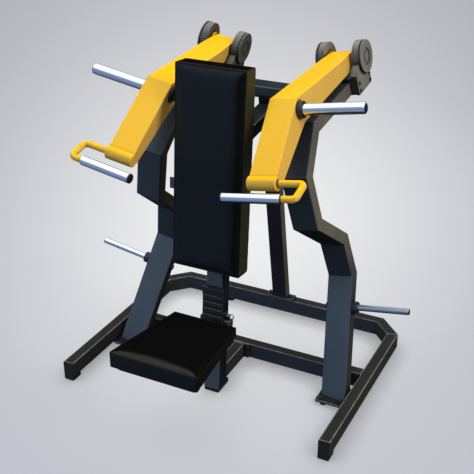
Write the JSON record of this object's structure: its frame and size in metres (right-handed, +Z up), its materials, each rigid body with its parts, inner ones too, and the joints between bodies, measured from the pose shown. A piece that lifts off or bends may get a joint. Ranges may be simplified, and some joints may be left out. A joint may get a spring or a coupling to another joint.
{
  "type": "shoulder press machine",
  "caption": "Plate-loaded shoulder press machine with independent hinged lever arms, upright backrest, height-adjustable seat, weight horns and a welded floor frame.",
  "frame": {"origin": "on the floor under the middle of the machine's overall box", "axes": "+Z up, +Y to the rear of the machine (the user sits facing -Y), +X to the side on the right when the machine is seen from its front"},
  "size_m": [1.6174, 1.332, 1.5481],
  "materials": {
    "frame_paint": "charcoal powder coat, fine texture, semi-matt",
    "base_paint": "near-black powder coat, fine texture, semi-matt",
    "pivot_paint": "dark grey metallic paint, semi-gloss",
    "arm_paint": "yellow powder coat, satin",
    "chrome": "satin chrome plating",
    "bare_steel": "ground steel",
    "bolts": "black oxide hexagon-head fasteners",
    "upholstery": "black gym vinyl with a fine grain",
    "board": "black-stained plywood backing",
    "rubber": "matt black moulded rubber",
    "black_plastic": "black moulded plastic"
  },
  "bodies": {
    "frame": {"backrest_board": "board", "backrest_pad": "upholstery", "centre_base_rail": "base_paint", "centre_boot": "rubber", "centre_column": "frame_paint", "centre_rail_flange": "base_paint", "column_link": "frame_paint", "floor_pads": "rubber", "frame_bolts": "bolts", "left_base_rail": "base_paint", "left_foot_plate": "base_paint", "left_front_boot": "rubber", "left_pivot_yoke": "pivot_paint", "left_storage_horn": "chrome", "left_upright": "frame_paint", "middle_crossbar": "base_paint", "pivot_caps": "pivot_paint", "pivot_seals": "rubber", "pivot_shafts": "bare_steel", "rear_crossbar": "base_paint", "rear_strut": "frame_paint", "right_base_rail": "base_paint", "right_foot_plate": "base_paint", "right_front_boot": "rubber", "right_pivot_yoke": "pivot_paint", "right_storage_horn": "chrome", "right_upright": "frame_paint", "side_bracket": "frame_paint", "stop_bumpers": "rubber", "storage_collars": "black_plastic", "storage_horn_nuts": "chrome", "strut_base_flange": "base_paint", "strut_top_flange": "frame_paint", "upper_crossbar": "frame_paint", "yoke_bolts": "bolts", "yoke_plates": "pivot_paint"},
    "seat_carriage_body": {"seat_carriage": "base_paint", "seat_ribbed_cover": "black_plastic", "seat_bracket": "base_paint", "seat_board": "board", "seat_pad": "upholstery", "seat_pin_housing": "base_paint"},
    "seat_pin_body": {"seat_pin": "bare_steel"},
    "right_arm": {"right_arm_box": "arm_paint", "right_handle_sleeve": "arm_paint", "right_handle_bar": "arm_paint", "right_grip": "chrome", "right_grip_plug": "black_plastic", "right_weight_horn": "chrome", "right_horn_collar": "black_plastic", "right_horn_end_cap": "black_plastic"},
    "left_arm": {"left_arm_box": "arm_paint", "left_handle_sleeve": "arm_paint", "left_handle_bar": "arm_paint", "left_grip": "chrome", "left_grip_plug": "black_plastic", "left_weight_horn": "chrome", "left_horn_collar": "black_plastic", "left_horn_end_cap": "black_plastic"}
  },
  "joints": [
    {"name": "right_arm_hinge", "type": "hinge", "parent": "frame", "child": "right_arm", "pos_m": [0.29822, 0.58361, 1.44388], "axis": [-0.9832, 0.0257, -0.1805], "range_deg": [0, 42]},
    {"name": "left_arm_hinge", "type": "hinge", "parent": "frame", "child": "left_arm", "pos_m": [-0.29822, 0.58361, 1.44388], "axis": [-0.9832, -0.0257, 0.1805], "range_deg": [0, 42]},
    {"name": "seat_height_slide", "type": "slide", "parent": "frame", "child": "seat_carriage_body", "axis": [0, 0.0797, 0.9968], "range_m": [-0.05, 0.1]},
    {"name": "seat_pin_pull", "type": "slide", "parent": "seat_carriage_body", "child": "seat_pin_body", "axis": [1, 0, 0], "range_m": [0, 0.012]}
  ]
}
